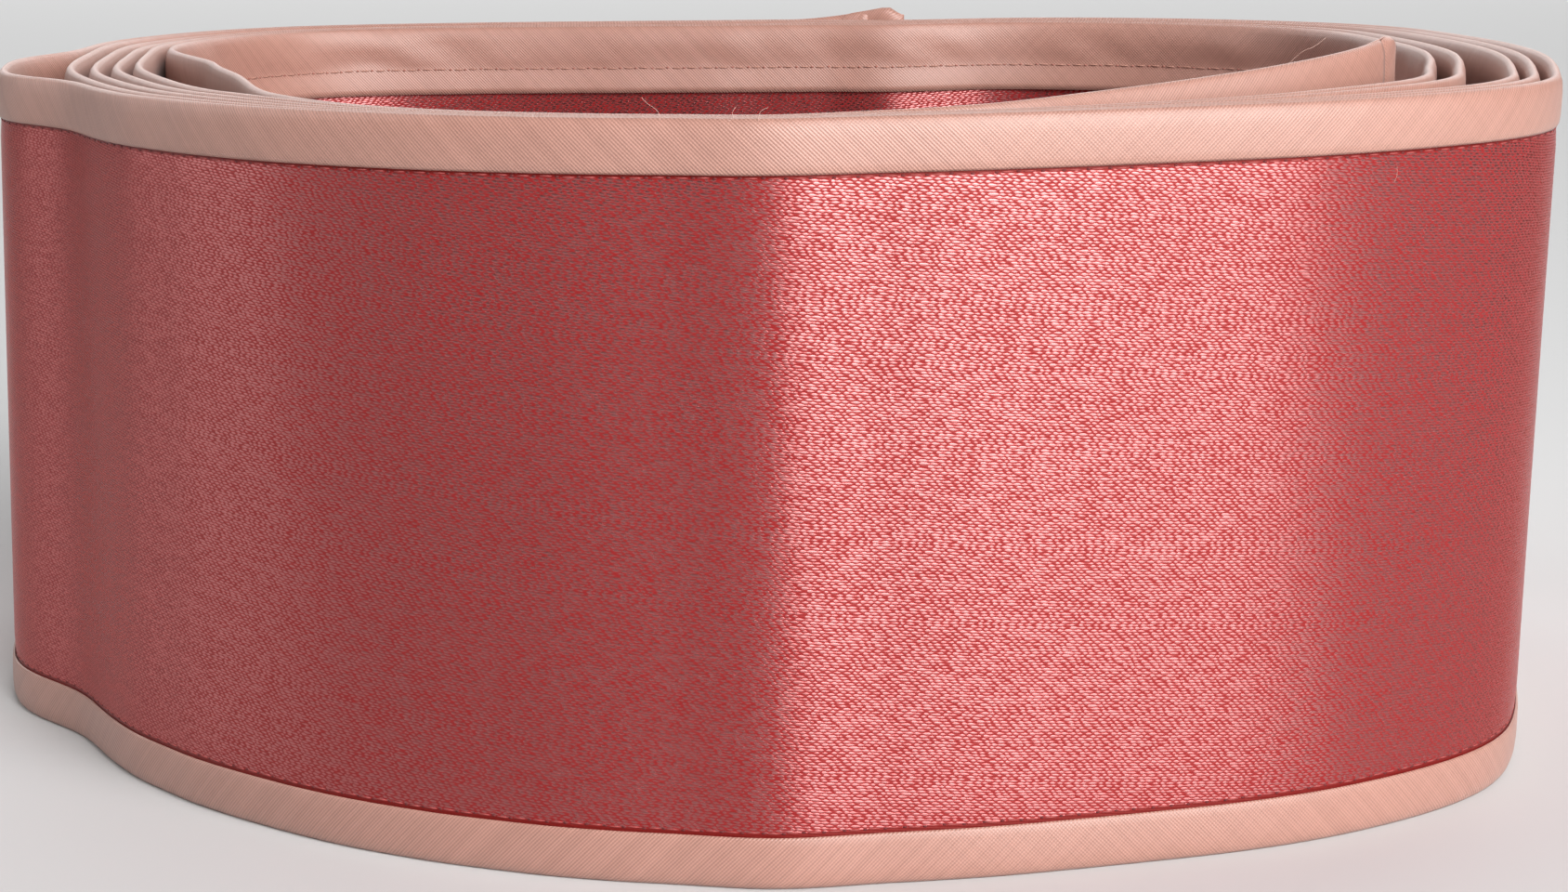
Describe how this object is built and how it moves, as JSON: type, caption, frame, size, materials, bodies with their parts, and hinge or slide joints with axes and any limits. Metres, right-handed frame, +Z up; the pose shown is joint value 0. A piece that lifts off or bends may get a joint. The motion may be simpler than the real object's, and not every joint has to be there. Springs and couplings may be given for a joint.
{
  "type": "satin sash",
  "caption": "Satin sash with bias-bound edges, rolled into a loose open coil that stands on its long edge, with a free flap inside.",
  "frame": {"origin": "middle of the coil's box in plan, on the surface the sash stands on", "axes": "+X to the coil's right along its longest side, +Y to its back where the outer end lies, +Z up across the band's width"},
  "size_m": [0.196, 0.163, 0.0842],
  "materials": {
    "satin": "satin weave, coral, glossy along the floats",
    "bias_binding": "blush pink, matte, woven on the bias"
  },
  "bodies": {
    "root": {"satin_turn_1": "satin", "satin_turn_2": "satin", "satin_turn_3": "satin", "satin_turn_4": "satin", "satin_turn_5": "satin", "satin_turn_6": "satin", "top_binding_turn_1": "bias_binding", "top_binding_turn_2": "bias_binding", "top_binding_turn_3": "bias_binding", "top_binding_turn_4": "bias_binding", "top_binding_turn_5": "bias_binding", "top_binding_turn_6": "bias_binding", "bottom_binding_turn_1": "bias_binding", "bottom_binding_turn_2": "bias_binding", "bottom_binding_turn_3": "bias_binding", "bottom_binding_turn_4": "bias_binding", "bottom_binding_turn_5": "bias_binding", "bottom_binding_turn_6": "bias_binding", "end_binding_outer": "bias_binding", "end_binding_inner": "bias_binding"}
  },
  "joints": []
}
